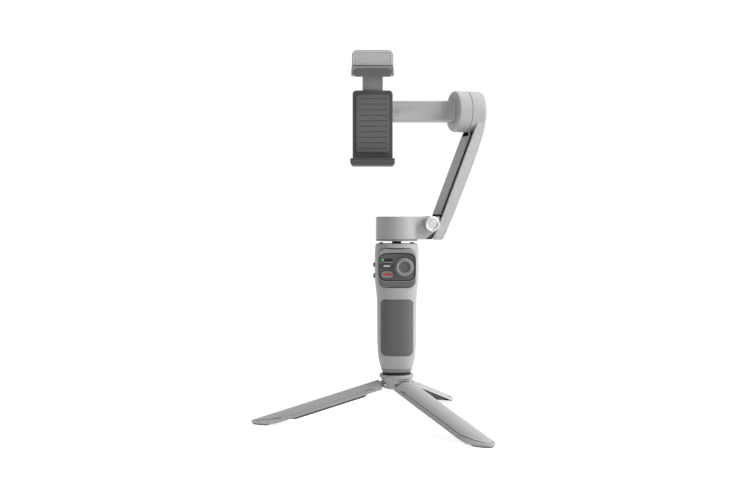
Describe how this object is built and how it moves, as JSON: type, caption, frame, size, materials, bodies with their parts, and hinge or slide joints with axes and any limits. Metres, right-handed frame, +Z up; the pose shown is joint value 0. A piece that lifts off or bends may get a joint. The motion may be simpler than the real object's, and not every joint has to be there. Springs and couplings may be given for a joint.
{
  "type": "phone gimbal stabilizer",
  "caption": "Folding three-axis phone stabilizer: grip with joystick and buttons, motor arms, sprung phone clamp with fill light, on a fold-out mini tripod.",
  "frame": {"origin": "on the surface that the three feet stand on, below the middle of the bounding box; the handle's axis stands at x 0.0231, y -0.0049", "axes": "+Z up along the handle, -Y towards the user and the controls, +X to the side that the folding arm is on"},
  "size_m": [0.1996, 0.2142, 0.314],
  "materials": {
    "light_plastic": "satin light grey moulded plastic",
    "grey_plastic": "satin mid grey moulded plastic",
    "dark_plastic": "matt dark grey moulded plastic",
    "rubber": "soft matt dark grey rubber",
    "black": "matt black",
    "silver": "satin turned aluminium",
    "steel": "ground steel",
    "copper": "enamelled copper wire",
    "brass": "turned brass",
    "board": "green circuit board",
    "battery_wrap": "blue shrink wrap",
    "diffuser": "milky white diffuser"
  },
  "bodies": {
    "tripod": {"tripod_hub": "light_plastic", "tripod_stud": "steel", "hub_washer": "black", "leg_pin_1": "steel", "leg_pin_2": "steel", "leg_pin_3": "steel"},
    "leg_1": {"leg_1": "light_plastic", "leg_foot_1": "rubber"},
    "leg_2": {"leg_2": "light_plastic", "leg_foot_2": "rubber"},
    "leg_3": {"leg_3": "light_plastic", "leg_foot_3": "rubber"},
    "handle": {"handle_front_shell": "light_plastic", "handle_rear_shell": "light_plastic", "handle_base_plate": "grey_plastic", "thread_insert": "brass", "battery_cell": "battery_wrap", "main_board": "board", "grip_pad": "rubber", "control_bezel": "dark_plastic", "control_panel": "dark_plastic", "led_light_pipe": "black", "control_board": "board", "trigger_pin": "steel", "pan_shaft": "black", "pan_stator": "copper"},
    "joystick": {"joystick_cap": "rubber"},
    "mode_button": {"mode_button": "dark_plastic"},
    "record_button": {"record_button": "grey_plastic"},
    "zoom_rocker": {"zoom_rocker": "dark_plastic"},
    "trigger": {"trigger": "dark_plastic"},
    "pan": {"pan_motor_housing": "light_plastic", "pan_motor_bottom": "grey_plastic", "pan_rotor": "steel", "pan_bearing": "steel", "fold_pin": "steel"},
    "fold_knob": {"fold_knob": "silver"},
    "arm": {"arm_outer_shell": "light_plastic", "arm_inner_cover": "grey_plastic", "arm_core": "black", "arm_cover_screw": "silver", "tilt_stator": "copper"},
    "tilt": {"tilt_inner_housing": "light_plastic", "tilt_bearing": "steel", "tilt_rotor": "steel", "roll_arm": "light_plastic", "roll_bearing": "steel", "roll_stator": "copper"},
    "clamp": {"clamp_body": "dark_plastic", "roll_rotor": "steel", "lower_jaw_pad": "rubber", "back_pad": "rubber", "clamp_spring_left": "steel", "clamp_spring_right": "steel"},
    "upper_jaw": {"upper_jaw": "grey_plastic", "upper_jaw_pad": "rubber", "light_hinge_pin": "steel"},
    "fill_light": {"light_housing": "light_plastic", "light_board": "board", "light_diffuser": "diffuser"}
  },
  "joints": [
    {"name": "tripod_screw", "type": "hinge", "parent": "tripod", "child": "handle", "pos_m": [0.02308, -0.00493, 0.043], "axis": [0, 0, 1], "continuous": true},
    {"name": "leg_1_fold", "type": "hinge", "parent": "tripod", "child": "leg_1", "pos_m": [0.01311, -0.00577, 0.0323], "axis": [0.0837, -0.9965, 0], "range_deg": [0, 72]},
    {"name": "leg_2_fold", "type": "hinge", "parent": "tripod", "child": "leg_2", "pos_m": [0.02878, -0.01315, 0.0323], "axis": [0.8211, 0.5707, 0], "range_deg": [0, 72]},
    {"name": "leg_3_fold", "type": "hinge", "parent": "tripod", "child": "leg_3", "pos_m": [0.02733, 0.00411, 0.0323], "axis": [-0.9048, 0.4258, 0], "range_deg": [0, 72]},
    {"name": "pan", "type": "hinge", "parent": "handle", "child": "pan", "pos_m": [0.02308, -0.00493, 0.164], "axis": [0, 0, 1], "range_deg": [-160, 160]},
    {"name": "fold_knob_turn", "type": "hinge", "parent": "pan", "child": "fold_knob", "pos_m": [0.0523, -0.01216, 0.1683], "axis": [-0.2756, 0.9613, 0], "continuous": true},
    {"name": "arm_fold", "type": "hinge", "parent": "pan", "child": "arm", "pos_m": [0.04816, 0.00226, 0.1683], "axis": [-0.2756, 0.9613, 0], "range_deg": [0, 85]},
    {"name": "tilt", "type": "hinge", "parent": "arm", "child": "tilt", "pos_m": [0.07691, 0.0105, 0.2651], "axis": [0.9613, 0.2756, 0], "range_deg": [-120, 120]},
    {"name": "roll", "type": "hinge", "parent": "tilt", "child": "clamp", "pos_m": [0.00268, 0.01006, 0.2651], "axis": [0, 1, 0], "range_deg": [-150, 150]},
    {"name": "clamp_slide", "type": "slide", "parent": "clamp", "child": "upper_jaw", "axis": [0, 0, 1], "range_m": [-0.01, 0.019], "stiffness_N_per_m": 400, "deforming": ["clamp_spring_left", "clamp_spring_right"]},
    {"name": "light_flip", "type": "hinge", "parent": "upper_jaw", "child": "fill_light", "pos_m": [0.00268, -0.00034, 0.3034], "axis": [-1, 0, 0], "range_deg": [0, 180]},
    {"name": "joystick_tilt", "type": "hinge", "parent": "handle", "child": "joystick", "pos_m": [0.02898, -0.01994, 0.1326], "axis": [1, 0, 0], "range_deg": [-12, 12], "stiffness_Nm_per_rad": 0.05},
    {"name": "mode_button_press", "type": "slide", "parent": "handle", "child": "mode_button", "axis": [0, 1, 0], "range_m": [0, 0.0005], "stiffness_N_per_m": 1000},
    {"name": "record_button_press", "type": "slide", "parent": "handle", "child": "record_button", "axis": [0, 1, 0], "range_m": [0, 0.0005], "stiffness_N_per_m": 1000},
    {"name": "zoom_rock", "type": "hinge", "parent": "handle", "child": "zoom_rocker", "pos_m": [0.00708, -0.00583, 0.1292], "axis": [0, 1, 0], "range_deg": [-3, 3], "stiffness_Nm_per_rad": 0.05},
    {"name": "trigger_pull", "type": "hinge", "parent": "handle", "child": "trigger", "pos_m": [0.02308, 0.01047, 0.1415], "axis": [-1, 0, 0], "range_deg": [0, 8], "stiffness_Nm_per_rad": 0.2}
  ]
}
